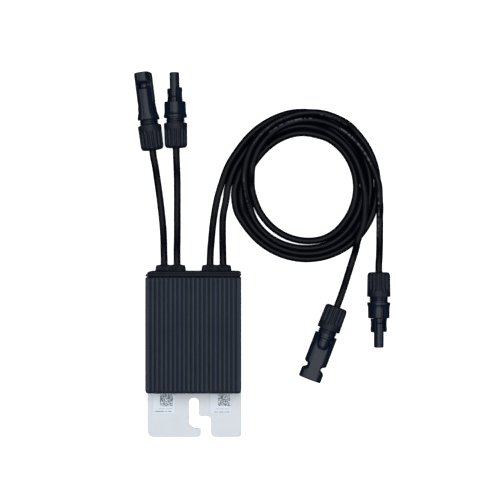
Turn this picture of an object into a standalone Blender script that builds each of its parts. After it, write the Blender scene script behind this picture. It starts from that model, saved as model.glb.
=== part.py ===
"""A solar module power unit: a ribbed electronics housing on a slotted bracket. Two short
input leads and two long output leads leave its top end, and every lead ends in a round
solar connector. The unit lies on its back, with its leads laid out on the same surface.

Lengths are in millimetres and are turned into metres where a mesh or a place is made.
+X runs across the housing, +Y towards its cable end, +Z out of its ribbed face.
"""

import math

import bmesh
import bpy
from mathutils import Matrix, Vector

MM = 0.001
GAP = 0.3
MERGE = 0.01

# Housing: a box that is open at its cable end
HOUSING_W = 75.0
HOUSING_Y0 = -31.9
HOUSING_Y1 = 58.9
HOUSING_Z0 = 2.3
HOUSING_Z1 = 25.5
WALL = 2.3
ROOF_Z = 21.6
RIB_COUNT = 21
RIB_PITCH = 3.51
GROOVE_W = 1.3
GROOVE_DEPTH = 1.6
EDGE_BEVEL = 1.3

# End cap, its gasket and the rubber grommets in it
GASKET_T = 0.6
CAP_Y0 = HOUSING_Y1 + GAP + GASKET_T + GAP
CAP_Y1 = 64.2
INPUT_X = -18.3
OUTPUT_X = 18.0
GROMMET_W = 22.8
GROMMET_H = 14.4
GROMMET_END = 68.8
GROMMET_START = 56.2
FLANGE_EXTRA = 0.7
FLANGE_WIDER = 1.0
CABLE_SPACING = 10.2
CABLE_Z = 13.1
CABLE_D = 5.6
CABLE_HOLE_R = CABLE_D / 2 + GAP
BOSS_X = 33.6
BOSS_R = 2.6
SCREW_R = 1.0
SCREW_HEAD_R = 2.0
SCREW_HEAD_H = 1.6

# Bracket: a flat sheet with a hooked slot for an M8 bolt
SHEET_T = 2.0
BRACKET_W = 75.0
BRACKET_Y0 = -68.8
BRACKET_Y1 = 50.0
SLOT_LEFT = -4.5
SLOT_RIGHT = 3.7
SLOT_TOP = -37.6
CHAMBER_TOP = -52.0
HOOK_TOP = -61.6
EXIT_LEFT = 5.0
EXIT_RIGHT = 13.4
RIVET_X = 24.0
RIVET_Y = 20.0
RIVET_R = 1.6
RIVET_HEAD_R = 3.0
LABEL_Y0 = -50.5
LABEL_Y1 = -34.3
LABEL_T = 0.3

# Circuit board and what stands on it
BOARD_Z0 = 8.2
BOARD_T = 1.6
BOARD_X = 33.0
BOARD_Y0 = -27.0
BOARD_Y1 = 53.5
TOP_Z = BOARD_Z0 + BOARD_T + GAP
TERMINAL_Y0 = 44.7
TERMINAL_Y1 = 52.2

# Connectors, measured along their own axis from the cable end of the nut
AXIS_Z = 9.8
NUT_LEN = 19.5
NUT_R0 = 9.0
NUT_R1 = 9.3
NUT_BORE_R = 7.85
THREAD_R = 7.5
CABLE_BORE_R = 3.2
COLLET_BORE_R = 3.15
REAR_END = 12.4
SHOULDER = 23.9
BORE_R = 5.4
PLUG_LEN = 59.8
PLUG_BODY_END = 36.5
BARREL_R = 3.9
BARREL_BORE_R = 2.1
SOCKET_LEN = 61.5
SHELL_R = 9.3
SOCKET_R = 9.75
SOCKET_W = 18.5
SOCKET_T = 12.5
SOCKET_BORE_R = 4.3
CABLE_IN = 24.0
CONTACT_START = CABLE_IN + GAP
CONTACT_R = 1.7
ARM_X = 5.1
ARM_T = 1.2
ARM_W = 5.6
ARM_LEN = 10.8
STRAIGHT = 6.0

# Name, kind, cable end of the nut (x, y), heading of its axis in degrees, roll in degrees
CONNECTORS = [
    ("input_socket", "socket", (-32.85, 159.95), 97.2, 81.0),
    ("input_plug", "plug", (-14.15, 161.7), 91.4, -48.0),
    ("output_socket", "socket", (113.45, 35.6), 249.15, 0.0),
    ("output_plug", "plug", (146.6, 63.0), 270.0, -35.0),
]

# Coil of the two output leads
COIL_CENTRE = (87.9, 132.2)
COIL_R0 = 39.4
COIL_R1 = 61.2
COIL_Z0 = 0.1
COIL_Z1 = 12.2

# Routes of the leads outside the housing, (x, y, z), before the straight run to a connector
INPUT_SOCKET_ROUTE = [
    (-23.8, 81.0, 10.6), (-24.1, 88.0, 7.8), (-24.9, 99.0, 4.8), (-26.3, 112.0, 3.3),
    (-28.0, 125.7, 3.1), (-29.6, 138.0, 5.4), (-30.9, 148.0, 8.8),
]
INPUT_PLUG_ROUTE = [
    (-13.4, 81.0, 10.6), (-13.4, 88.0, 7.8), (-13.5, 99.0, 4.8), (-13.6, 112.0, 3.3),
    (-13.6, 125.7, 3.1), (-13.6, 138.0, 5.0), (-13.8, 149.0, 8.6),
]
OUTPUT_LEFT_ROUTE = [
    (13.2, 80.5, 10.6), (13.9, 90.0, 7.4), (14.8, 100.1, 4.8), (16.6, 112.9, 3.4),
    (19.3, 125.7, 3.0), (23.4, 138.5, 2.9),
]
OUTPUT_RIGHT_ROUTE = [
    (22.9, 80.5, 10.6), (22.65, 90.0, 7.4), (22.6, 100.1, 4.8), (23.1, 109.5, 3.4),
    (24.2, 118.5, 2.9),
]
TAIL_SOCKET_ROUTE = [
    (128.7, 80.4, 3.6), (126.7, 74.0, 3.2), (124.9, 68.2, 3.3), (121.0, 56.4, 6.0),
    (118.6, 49.5, 8.4),
]
TAIL_PLUG_ROUTE = [(148.1, 104.1, 3.6), (148.0, 94.0, 3.2), (147.7, 84.0, 5.4), (147.1, 75.0, 8.6)]


def clear_scene():
    for obj in list(bpy.data.objects):
        bpy.data.objects.remove(obj, do_unlink=True)


def collection(name):
    made = bpy.data.collections.new(name)
    bpy.context.scene.collection.children.link(made)
    return made


def material(name, colour, roughness, metallic=0.0):
    made = bpy.data.materials.new(name)
    made.use_nodes = True
    shader = made.node_tree.nodes["Principled BSDF"]
    shader.inputs["Base Color"].default_value = (*colour, 1.0)
    shader.inputs["Roughness"].default_value = roughness
    shader.inputs["Metallic"].default_value = metallic
    return made


def add(name, data, finish, parent=None, at=(0.0, 0.0, 0.0)):
    """An object of the model, or a cutter where finish is None."""
    obj = bpy.data.objects.new(name, data)
    obj.location = Vector(at) * MM
    obj.parent = parent
    if finish is None:
        cutters.objects.link(obj)
        obj.hide_render = True
        obj.display_type = "WIRE"
    else:
        parts.objects.link(obj)
        data.materials.append(finish)
    return obj


def boolean(obj, tool, operation="DIFFERENCE"):
    modifier = obj.modifiers.new(operation.lower(), "BOOLEAN")
    modifier.operation = operation
    modifier.object = tool
    modifier.solver = "EXACT"


def block(name, low, high, finish, parent=None, bevel=0.0, segments=1, origin=None):
    """A box between two corners, with its origin at its middle or at the place given."""
    low, high = Vector(low), Vector(high)
    origin = (low + high) / 2 if origin is None else Vector(origin)
    form = bmesh.new()
    bmesh.ops.create_cube(form, size=1.0)
    bmesh.ops.scale(form, vec=(high - low) * MM, verts=form.verts)
    bmesh.ops.translate(form, vec=((low + high) / 2 - origin) * MM, verts=form.verts)
    mesh = bpy.data.meshes.new(name)
    form.to_mesh(mesh)
    form.free()
    obj = add(name, mesh, finish, parent, origin)
    if bevel:
        modifier = obj.modifiers.new("bevel", "BEVEL")
        modifier.width = bevel * MM
        modifier.segments = segments
    return obj


def cylinder(name, radius, z0, z1, finish, parent=None, at=(0.0, 0.0, 0.0), sides=24):
    """A round bar from z0 to z1 along its own Z axis."""
    form = bmesh.new()
    bmesh.ops.create_cone(form, cap_ends=True, segments=sides, radius1=radius * MM,
                          radius2=radius * MM, depth=(z1 - z0) * MM)
    bmesh.ops.translate(form, vec=(0.0, 0.0, (z0 + z1) / 2 * MM), verts=form.verts)
    mesh = bpy.data.meshes.new(name)
    form.to_mesh(mesh)
    form.free()
    return add(name, mesh, finish, parent, at)


def turned(name, profile, finish, parent=None, at=(0.0, 0.0, 0.0), steps=24, closed=True):
    """A profile of (radius, z) turned about its own Z axis. It runs down its outer side."""
    mesh = bpy.data.meshes.new(name)
    points = [(radius * MM, 0.0, z * MM) for radius, z in profile]
    edges = [(i, i + 1) for i in range(len(points) - 1)]
    if closed:
        edges.append((len(points) - 1, 0))
    mesh.from_pydata(points, edges, [])
    obj = add(name, mesh, finish, parent, at)
    screw = obj.modifiers.new("screw", "SCREW")
    screw.steps = steps
    screw.render_steps = steps
    screw.use_merge_vertices = True
    screw.merge_threshold = MERGE * MM
    screw.use_smooth_shade = False
    return obj


def rounded(corners, steps=3):
    """An outline through (x, y, radius) corners, each turned into an arc."""
    outline = []
    for i, (x, y, radius) in enumerate(corners):
        corner = Vector((x, y))
        back = (Vector(corners[i - 1][:2]) - corner).normalized()
        ahead = (Vector(corners[(i + 1) % len(corners)][:2]) - corner).normalized()
        half = back.angle(ahead) / 2
        reach = radius / math.tan(half)
        centre = corner + (back + ahead).normalized() * (radius / math.sin(half))
        start = corner + back * reach - centre
        end = corner + ahead * reach - centre
        turn = math.atan2(start.x * end.y - start.y * end.x, start.dot(end))
        for k in range(steps + 1):
            spin = Matrix.Rotation(turn * k / steps, 2)
            outline.append(centre + spin @ start)
    return outline


def plate(name, outline, thickness, finish, parent=None, at=(0.0, 0.0, 0.0)):
    """A flat outline as a solid sheet, half its thickness either side of its own plane."""
    curve = bpy.data.curves.new(name, "CURVE")
    curve.dimensions = "2D"
    curve.fill_mode = "BOTH"
    curve.extrude = thickness / 2 * MM
    spline = curve.splines.new("POLY")
    spline.points.add(len(outline) - 1)
    for point, (x, y) in zip(spline.points, outline):
        point.co = (x * MM, y * MM, 0.0, 1.0)
    spline.use_cyclic_u = True
    return add(name, curve, finish, parent, at)


def as_mesh(curve):
    """A curve object turned into a mesh object with its caps joined on."""
    bpy.context.view_layer.update()
    graph = bpy.context.evaluated_depsgraph_get()
    mesh = bpy.data.meshes.new_from_object(curve.evaluated_get(graph))
    form = bmesh.new()
    form.from_mesh(mesh)
    bmesh.ops.remove_doubles(form, verts=form.verts, dist=MERGE * MM)
    form.to_mesh(mesh)
    form.free()
    name = curve.name
    curve.name = name + "_outline"
    finish = None if curve.hide_render else curve.data.materials[0]
    mesh.materials.clear()
    obj = add(name, mesh, finish, curve.parent)
    obj.matrix_basis = curve.matrix_basis
    bpy.data.objects.remove(curve, do_unlink=True)
    return obj


def smooth_route(points, spacing):
    """Points about `spacing` apart on one smooth curve through a list of route points."""
    route = [Vector(point) for point in points]
    ends = [2 * route[0] - route[1], *route, 2 * route[-1] - route[-2]]
    found = []
    for before, start, end, after in zip(ends, ends[1:], ends[2:], ends[3:]):
        pieces = max(1, round((end - start).length / spacing))
        leave = (end - before) * ((end - start).length / (end - before).length)
        arrive = (after - start) * ((end - start).length / (after - start).length)
        for k in range(pieces):
            t = k / pieces
            found.append(
                start * (2 * t**3 - 3 * t**2 + 1) + leave * (t**3 - 2 * t**2 + t)
                + end * (3 * t**2 - 2 * t**3) + arrive * (t**3 - t**2)
            )
    found.append(route[-1])
    return found


def cable(name, points):
    curve = bpy.data.curves.new(name, "CURVE")
    curve.dimensions = "3D"
    curve.bevel_depth = CABLE_D / 2 * MM
    curve.bevel_resolution = 2
    curve.use_fill_caps = True
    route = smooth_route(points, 2.4 * CABLE_D)
    spline = curve.splines.new("POLY")
    spline.points.add(len(route) - 1)
    for point, place in zip(spline.points, route):
        point.co = (*(place * MM), 1.0)
    return add(name, curve, cable_jacket)


def make_housing():
    half = HOUSING_W / 2
    body = block("housing_body", (-half, HOUSING_Y0, HOUSING_Z0), (half, HOUSING_Y1, HOUSING_Z1),
                 housing_plastic, bevel=EDGE_BEVEL)
    first = -RIB_PITCH * (RIB_COUNT - 2) / 2
    grooves = block("groove_cutter",
                    (first - GROOVE_W / 2, HOUSING_Y0 - 1, HOUSING_Z1 - GROOVE_DEPTH),
                    (first + GROOVE_W / 2, HOUSING_Y1 + 1, HOUSING_Z1 + 1), None)
    array = grooves.modifiers.new("repeat", "ARRAY")
    array.count = RIB_COUNT - 1
    array.use_relative_offset = False
    array.use_constant_offset = True
    array.constant_offset_displace = (RIB_PITCH * MM, 0.0, 0.0)
    boolean(body, grooves)
    cavity = block("cavity_cutter", (WALL - half, HOUSING_Y0 + WALL, HOUSING_Z0 + WALL),
                   (half - WALL, HOUSING_Y1 + 1, ROOF_Z), None)
    boolean(body, cavity)
    for side in (-1, 1):
        boss = block(f"boss_adder_{side}", (side * BOSS_X - BOSS_R, 46.0, CABLE_Z - BOSS_R),
                     (side * BOSS_X + BOSS_R, HOUSING_Y1, CABLE_Z + BOSS_R), None)
        boolean(body, boss, "UNION")
        hole = cylinder(f"boss_hole_{side}", SCREW_R + GAP, 0, 16, None,
                        at=(side * BOSS_X, 48.0, CABLE_Z), sides=16)
        hole.rotation_euler = (-math.pi / 2, 0.0, 0.0)
        boolean(body, hole)
        rivet_hole = cylinder(f"rivet_hole_{side}", RIVET_R + GAP, 0, 6, None,
                              at=(side * RIVET_X, RIVET_Y, 0.0), sides=16)
        boolean(body, rivet_hole)


def make_end_cap():
    half = HOUSING_W / 2
    cap = block("end_cap", (-half, CAP_Y0, HOUSING_Z0), (half, CAP_Y1, HOUSING_Z1 - GAP),
                housing_plastic, bevel=EDGE_BEVEL)
    gasket_y = HOUSING_Y1 + GAP
    gasket = block("cap_gasket", (0.7 - half, gasket_y, HOUSING_Z0 + 0.7),
                   (half - 0.7, gasket_y + GASKET_T, HOUSING_Z1 - GROOVE_DEPTH - 0.5), rubber)
    inside = block("gasket_cutter", (2.0 - half, gasket_y - 1, HOUSING_Z0 + 2.0),
                   (half - 2.0, gasket_y + GASKET_T + 1, ROOF_Z + 0.4), None)
    boolean(gasket, inside)
    middle = CABLE_Z
    for centre, name in ((INPUT_X, "input"), (OUTPUT_X, "output")):
        tall = GROMMET_H / 2
        wide = GROMMET_W / 2
        window = block(f"window_{name}", (centre - wide - GAP, CAP_Y0 - 1, middle - tall - GAP),
                       (centre + wide + GAP, CAP_Y1 + 1, middle + tall + GAP), None)
        boolean(cap, window)
        grommet = block(f"{name}_grommet", (centre - wide, GROMMET_START, middle - tall),
                        (centre + wide, GROMMET_END, middle + tall), rubber)
        flange = block(f"{name}_flange",
                       (centre - wide - FLANGE_WIDER, GROMMET_START, middle - tall - FLANGE_EXTRA),
                       (centre + wide + FLANGE_WIDER, CAP_Y0 - GAP, middle + tall + FLANGE_EXTRA), None)
        boolean(grommet, flange, "UNION")
        for lead in (-1, 1):
            place = (centre + lead * CABLE_SPACING / 2, GROMMET_START - 1, middle)
            hole = cylinder(f"lead_hole_{name}_{lead}", CABLE_HOLE_R, 0,
                            GROMMET_END - GROMMET_START + 2, None, at=place, sides=16)
            hole.rotation_euler = (-math.pi / 2, 0.0, 0.0)
            boolean(grommet, hole)
    for side, name in ((-1, "left"), (1, "right")):
        place = (side * BOSS_X, CAP_Y1 - SCREW_HEAD_H - 0.5, middle)
        screw = turned(f"cap_screw_{name}", [
            (0.0, SCREW_HEAD_H), (SCREW_HEAD_R, SCREW_HEAD_H), (SCREW_HEAD_R, 0.0),
            (SCREW_R, 0.0), (SCREW_R, -12.0), (0.0, -12.0),
        ], steel, at=place, steps=16, closed=False)
        screw.rotation_euler = (-math.pi / 2, 0.0, 0.0)
        bore = turned(f"counterbore_{name}", [
            (0.0, 6.0), (SCREW_HEAD_R + GAP, 6.0), (SCREW_HEAD_R + GAP, -GAP),
            (SCREW_R + GAP, -GAP), (SCREW_R + GAP, -6.0), (0.0, -6.0),
        ], None, at=place, steps=16, closed=False)
        bore.rotation_euler = (-math.pi / 2, 0.0, 0.0)
        boolean(cap, bore)


def make_bracket():
    half = BRACKET_W / 2
    outline = rounded([
        (-half, BRACKET_Y1, 2.0), (-half, BRACKET_Y0, 5.0), (EXIT_LEFT, BRACKET_Y0, 2.5),
        (EXIT_LEFT, HOOK_TOP, 1.0), (SLOT_LEFT, HOOK_TOP, 5.2), (SLOT_LEFT, SLOT_TOP, 4.0),
        (SLOT_RIGHT, SLOT_TOP, 4.0), (SLOT_RIGHT, CHAMBER_TOP, 1.0), (EXIT_RIGHT, CHAMBER_TOP, 4.0),
        (EXIT_RIGHT, BRACKET_Y0, 3.5), (half, BRACKET_Y0, 2.5), (half, BRACKET_Y1, 2.0),
    ])
    sheet = as_mesh(plate("mounting_bracket", outline, SHEET_T, coated_sheet, at=(0, 0, SHEET_T / 2)))
    inner_head = HOUSING_Z0 + WALL + GAP
    for side, name in ((-1, "left"), (1, "right")):
        place = (side * RIVET_X, RIVET_Y, 0.0)
        sink = turned(f"countersink_{name}", [
            (0.0, 4.0), (RIVET_R + GAP, 4.0), (RIVET_R + GAP, 1.7), (RIVET_HEAD_R + GAP, 0.4),
            (RIVET_HEAD_R + GAP, -1.0), (0.0, -1.0),
        ], None, at=place, steps=20, closed=False)
        boolean(sheet, sink)
        turned(f"bracket_rivet_{name}", [
            (0.0, inner_head + 1.2), (2.4, inner_head + 1.2), (2.4, inner_head),
            (RIVET_R, inner_head), (RIVET_R, 1.5), (RIVET_HEAD_R, 0.2), (RIVET_HEAD_R, 0.1), (0.0, 0.1),
        ], steel, at=place, steps=20, closed=False)
    label_z = SHEET_T + GAP
    for name, left, right in (("left", -33.0, -15.4), ("right", 12.5, 29.6)):
        block(f"{name}_label", (left, LABEL_Y0, label_z), (right, LABEL_Y1, label_z + LABEL_T), paper)


def make_electronics():
    floor = HOUSING_Z0 + WALL
    potting = block("potting_compound", (-34.6, -29.0, floor + GAP), (34.6, 54.0, BOARD_Z0 - GAP), resin)
    for side, name in ((-1, "left"), (1, "right")):
        well = cylinder(f"rivet_well_{name}", 3.0, 0, 9, None,
                        at=(side * RIVET_X, RIVET_Y, 0.0), sides=16)
        boolean(potting, well)
    block("circuit_board", (-BOARD_X, BOARD_Y0, BOARD_Z0), (BOARD_X, BOARD_Y1, BOARD_Z0 + BOARD_T),
          board_green)
    for centre, group in ((INPUT_X, "input"), (OUTPUT_X, "output")):
        for lead, name in ((-1, "left"), (1, "right")):
            x = centre + lead * CABLE_SPACING / 2
            block(f"{group}_terminal_{name}", (x - 3.0, TERMINAL_Y0, TOP_Z),
                  (x + 3.0, TERMINAL_Y1, TOP_Z + 5.6), brass, bevel=0.6)
    core_x, core_y, core_top = -12.0, -6.0, ROOF_Z - GAP - 0.4
    leg_r, window = 4.8, 10.2
    middle = (TOP_Z + core_top) / 2
    core = block("inductor_core", (core_x - 13, core_y - 10, TOP_Z), (core_x + 13, core_y + 10, core_top),
                 ferrite)
    opening = block("core_window", (core_x - window, core_y - 11, middle - 3.8),
                    (core_x + window, core_y + 11, middle + 3.8), None)
    boolean(core, opening)
    leg = cylinder("core_leg", leg_r, -4.4, 4.4, None, at=(core_x, core_y, middle), sides=20)
    boolean(core, leg, "UNION")
    turned("inductor_winding", [(9.7, 3.4), (9.7, -3.4), (5.2, -3.4), (5.2, 3.4)], copper,
           at=(core_x, core_y, middle), steps=24)
    for name, x in (("left", 12.5), ("right", 26.0)):
        turned(f"capacitor_{name}", [
            (0.0, 11.0), (5.0, 11.0), (5.5, 10.5), (5.5, 0.0), (0.0, 0.0),
        ], aluminium_can, at=(x, -2.0, TOP_Z), steps=20, closed=False)
    for name, x in (("left", -9.0), ("right", 9.0)):
        block(f"transistor_{name}", (x - 5.2, 17.0, TOP_Z), (x + 5.2, 31.0, TOP_Z + 4.5), epoxy, bevel=0.4)
    block("heat_spreader", (-20.0, 16.0, TOP_Z + 4.8), (20.0, 32.0, ROOF_Z - GAP), aluminium, bevel=0.5)
    block("control_module", (6.0, -25.5, TOP_Z), (31.0, -11.0, TOP_Z + 3.4), steel, bevel=0.4)


def axis_frame(name, exit_xy, heading, roll):
    """An empty on a connector's axis: its Z runs from the cable towards the mating end."""
    empty = bpy.data.objects.new(f"{name}_axis", None)
    parts.objects.link(empty)
    turn = Matrix.Rotation(math.radians(heading + 90.0), 4, "Z")
    lay = Matrix.Rotation(math.pi / 2, 4, "X")
    spin = Matrix.Rotation(math.radians(roll), 4, "Z")
    at = Matrix.Translation(Vector((*exit_xy, AXIS_Z)) * MM)
    empty.matrix_basis = at @ turn @ lay @ spin
    return empty


def make_gland(name, frame):
    """What every connector has behind its body: nut, collet and cable seal."""
    turned(f"{name}_gland_nut", [
        (NUT_R1, NUT_LEN), (NUT_R1, NUT_LEN - 3.0), (NUT_R0, 1.6), (NUT_R0 - 1.6, 0.0), (CABLE_BORE_R, 0.0),
        (CABLE_BORE_R, 3.6), (4.6, 3.6), (7.1, 11.2), (NUT_BORE_R, 11.2), (NUT_BORE_R, NUT_LEN),
    ], matte_black, frame, steps=28)
    turned(f"{name}_collet", [
        (5.0, 14.5), (5.0, 12.0), (6.6, 12.0), (6.6, 10.9), (4.4, 4.4), (COLLET_BORE_R, 4.4), (COLLET_BORE_R, 14.5),
    ], nylon, frame, steps=20)
    turned(f"{name}_cable_seal", [
        (5.1, 22.4), (5.1, 14.9), (COLLET_BORE_R, 14.9), (COLLET_BORE_R, 22.4),
    ], rubber,
           frame, steps=20)


def make_bore(name, frame, contact_bore, length):
    """The stepped bore for the seal, the cable and the contact, as one cutter."""
    return turned(f"{name}_bore", [
        (0.0, length + 1.0), (contact_bore, length + 1.0), (contact_bore, 31.0), (CABLE_BORE_R, 31.0),
        (CABLE_BORE_R, 22.8), (BORE_R, 22.8), (BORE_R, REAR_END - 1.0), (0.0, REAR_END - 1.0),
    ], None, frame, steps=20, closed=False)


def make_plug(name, frame):
    body = turned(f"{name}_body", [
        (0.0, PLUG_LEN), (BARREL_R - 0.3, PLUG_LEN), (BARREL_R, PLUG_LEN - 0.4), (BARREL_R, 41.2),
        (BARREL_R - 0.6, 41.2), (BARREL_R - 0.6, 39.4), (BARREL_R, 39.4), (BARREL_R, 35.5),
        (THREAD_R, 35.5), (THREAD_R, REAR_END), (0.0, REAR_END),
    ], gloss_black, frame, steps=24, closed=False)
    shell = plate(f"{name}_shell", [
        (-9.2, SHOULDER), (-9.2, SHOULDER + 1.4), (-8.3, SHOULDER + 3.4), (-8.2, PLUG_BODY_END),
        (8.2, PLUG_BODY_END), (8.3, SHOULDER + 3.4), (9.2, SHOULDER + 1.4), (9.2, SHOULDER),
    ], 15.0, None, frame)
    shell.rotation_euler = (math.pi / 2, 0.0, 0.0)
    shell = as_mesh(shell)
    boolean(shell, cylinder(f"{name}_envelope", SHELL_R, 20.0, 40.0, None, frame), "INTERSECT")
    boolean(body, shell, "UNION")
    boolean(body, make_bore(name, frame, BARREL_BORE_R, PLUG_LEN))
    turned(f"{name}_contact", [
        (0.0, 57.0), (CONTACT_R - 0.2, 57.0), (CONTACT_R, 56.0), (CONTACT_R, 30.0),
        (2.4, 29.4), (2.4, CONTACT_START), (0.0, CONTACT_START),
    ], tin, frame, steps=12, closed=False)
    middle = 40.3
    ring = [(BARREL_R + 0.3 + 0.5 * math.cos(a), middle + 0.5 * math.sin(a))
            for a in (-math.tau * k / 8 for k in range(8))]
    turned(f"{name}_front_seal", ring, rubber, frame, steps=24)
    for side, arm in ((-1, "left"), (1, "right")):
        hinge = (side * (ARM_X + ARM_T / 2), 0.0, PLUG_BODY_END + GAP)
        near, far = sorted((side * ARM_X, side * (ARM_X + ARM_T)))
        block(f"{name}_arm_{arm}", (near, -ARM_W / 2, PLUG_BODY_END + GAP),
              (far, ARM_W / 2, PLUG_BODY_END + GAP + ARM_LEN), gloss_black, frame, bevel=0.25,
              origin=hinge)


def make_socket(name, frame):
    half = SOCKET_W / 2
    thick = SOCKET_T / 2
    body = cylinder(f"{name}_body", THREAD_R, REAR_END, 40.0, gloss_black, frame)
    face = plate(f"{name}_face", [
        (-half, SHOULDER), (-half, 47.6), (-8.8, 48.4), (-5.7, 50.0), (-5.7, 52.0), (-8.8, 54.0),
        (-half, 55.0), (-half, SOCKET_LEN), (half, SOCKET_LEN), (half, 55.0), (8.8, 54.0),
        (5.7, 52.0), (5.7, 50.0), (8.8, 48.4), (half, 47.6), (half, SHOULDER),
    ], 40.0, None, frame)
    face.rotation_euler = (math.pi / 2, 0.0, 0.0)
    side = plate(f"{name}_side", [
        (-8.9, SHOULDER), (-8.9, 25.6), (-7.2, 28.5), (-thick, 36.0), (-thick, SOCKET_LEN),
        (thick, SOCKET_LEN), (thick, 36.0), (7.2, 28.5), (8.9, 25.6), (8.9, SHOULDER),
    ], 40.0, None, frame)
    side.rotation_euler = (math.pi / 2, 0.0, math.pi / 2)
    box = as_mesh(face)
    boolean(box, as_mesh(side), "INTERSECT")
    envelope = turned(f"{name}_envelope", [
        (0.0, SOCKET_LEN + 1), (SOCKET_R, SOCKET_LEN + 1), (SOCKET_R, 20.0), (0.0, 20.0),
    ], None, frame, steps=24, closed=False)
    boolean(box, envelope, "INTERSECT")
    boolean(body, box, "UNION")
    boolean(body, make_bore(name, frame, 2.4, 37.0))
    boolean(body, cylinder(f"{name}_mouth", SOCKET_BORE_R, 36.0, SOCKET_LEN + 1, None, frame))
    for way in (-1, 1):
        low, high = sorted((way * 4.6, way * 6.9))
        slot = block(f"{name}_slot_{way}", (low, -3.4, 46.0), (high, 3.4, SOCKET_LEN + 1), None, frame)
        boolean(body, slot)
    turned(f"{name}_contact", [
        (0.0, 54.0), (0.9, 54.0), (CONTACT_R, 52.4), (CONTACT_R, 30.0), (2.4, 29.4),
        (2.4, CONTACT_START), (0.0, CONTACT_START),
    ], tin, frame, steps=12, closed=False)


def lead_start(x):
    """The run of a lead from its terminal through its grommet."""
    return [(x, TERMINAL_Y1 + GAP, CABLE_Z), (x, 61.0, CABLE_Z), (x, GROMMET_END + 1.7, CABLE_Z - 0.2)]


def lead_end(connector):
    """The straight run of a lead into its connector."""
    _, _, exit_xy, heading, _ = connector
    ahead = Vector((math.cos(math.radians(heading)), math.sin(math.radians(heading)), 0.0))
    start = Vector((*exit_xy, AXIS_Z))
    return [start + ahead * along for along in (-STRAIGHT, -STRAIGHT / 2, 0.0, CABLE_IN / 2, CABLE_IN)]


def make_leads():
    side = CABLE_SPACING / 2
    cable("input_lead_socket", lead_start(INPUT_X - side) + INPUT_SOCKET_ROUTE + lead_end(CONNECTORS[0]))
    cable("input_lead_plug", lead_start(INPUT_X + side) + INPUT_PLUG_ROUTE + lead_end(CONNECTORS[1]))
    cable("output_lead_left", lead_start(OUTPUT_X - side) + OUTPUT_LEFT_ROUTE)
    cable("output_lead_right", lead_start(OUTPUT_X + side) + OUTPUT_RIGHT_ROUTE)
    cable("output_tail_socket", TAIL_SOCKET_ROUTE + lead_end(CONNECTORS[2]))
    cable("output_tail_plug", TAIL_PLUG_ROUTE + lead_end(CONNECTORS[3]))
    turned("output_coil", [
        (COIL_R1 - 2.5, COIL_Z1), (COIL_R1, COIL_Z1 - 4.0), (COIL_R1, COIL_Z0 + 1.5),
        (COIL_R1 - 1.5, COIL_Z0), (COIL_R0 + 1.5, COIL_Z0), (COIL_R0, COIL_Z0 + 1.5),
        (COIL_R0, COIL_Z1 - 4.0), (COIL_R0 + 2.5, COIL_Z1),
    ], cable_jacket, at=(*COIL_CENTRE, 0.0), steps=40)


clear_scene()
parts = collection("solar_power_unit")
cutters = collection("cutters")
housing_plastic = material("housing_plastic", (0.030, 0.036, 0.048), 0.55)
rubber = material("rubber", (0.014, 0.014, 0.016), 0.75)
coated_sheet = material("coated_sheet", (0.74, 0.77, 0.80), 0.45, 0.2)
steel = material("steel", (0.55, 0.56, 0.58), 0.35, 1.0)
paper = material("paper", (0.86, 0.89, 0.94), 0.5)
resin = material("resin", (0.05, 0.05, 0.055), 0.6)
board_green = material("board_green", (0.02, 0.14, 0.06), 0.45)
brass = material("brass", (0.72, 0.55, 0.24), 0.3, 1.0)
ferrite = material("ferrite", (0.06, 0.06, 0.065), 0.7)
copper = material("copper", (0.70, 0.33, 0.16), 0.35, 1.0)
aluminium_can = material("aluminium_can", (0.62, 0.63, 0.65), 0.3, 1.0)
epoxy = material("epoxy", (0.02, 0.02, 0.022), 0.5)
aluminium = material("aluminium", (0.72, 0.73, 0.75), 0.4, 1.0)
matte_black = material("matte_black", (0.020, 0.021, 0.025), 0.6)
gloss_black = material("gloss_black", (0.018, 0.020, 0.026), 0.4)
nylon = material("nylon", (0.10, 0.10, 0.11), 0.5)
tin = material("tin", (0.75, 0.75, 0.74), 0.3, 1.0)
cable_jacket = material("cable_jacket", (0.012, 0.012, 0.014), 0.5)

make_housing()
make_end_cap()
make_bracket()
make_electronics()
for connector in CONNECTORS:
    label, kind, exit_point, heading_deg, roll_deg = connector
    axis = axis_frame(label, exit_point, heading_deg, roll_deg)
    make_gland(label, axis)
    if kind == "plug":
        make_plug(label, axis)
    else:
        make_socket(label, axis)
make_leads()
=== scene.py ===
"""The looks of a solar module power unit: a ribbed housing on a slotted sheet bracket, with two
short input leads, and two long output leads wound into one coil. Each lead ends in a connector.

Shapes are worked out in millimetres and turned into metres when a piece is made. Places come from
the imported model's boxes where it has them, and from the same driving dimensions as the part.
"""

import math

import bmesh
import bpy
import numpy as np
from mathutils import Matrix, Vector


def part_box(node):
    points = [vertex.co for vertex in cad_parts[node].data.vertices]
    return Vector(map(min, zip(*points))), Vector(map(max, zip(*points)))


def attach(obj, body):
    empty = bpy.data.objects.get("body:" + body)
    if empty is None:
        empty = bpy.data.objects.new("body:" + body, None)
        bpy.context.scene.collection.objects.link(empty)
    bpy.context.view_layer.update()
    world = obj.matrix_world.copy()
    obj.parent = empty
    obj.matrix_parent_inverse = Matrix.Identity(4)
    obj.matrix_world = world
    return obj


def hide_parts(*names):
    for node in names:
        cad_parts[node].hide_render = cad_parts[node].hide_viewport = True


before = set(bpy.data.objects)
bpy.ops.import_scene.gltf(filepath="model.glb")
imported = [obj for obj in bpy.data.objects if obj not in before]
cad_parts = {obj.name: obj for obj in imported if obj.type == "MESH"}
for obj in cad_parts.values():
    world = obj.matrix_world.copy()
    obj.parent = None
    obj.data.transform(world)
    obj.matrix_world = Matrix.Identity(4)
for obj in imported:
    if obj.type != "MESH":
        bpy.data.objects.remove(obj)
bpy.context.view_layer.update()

MM = 0.001
ORIGIN = Matrix.Identity(4)

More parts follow.
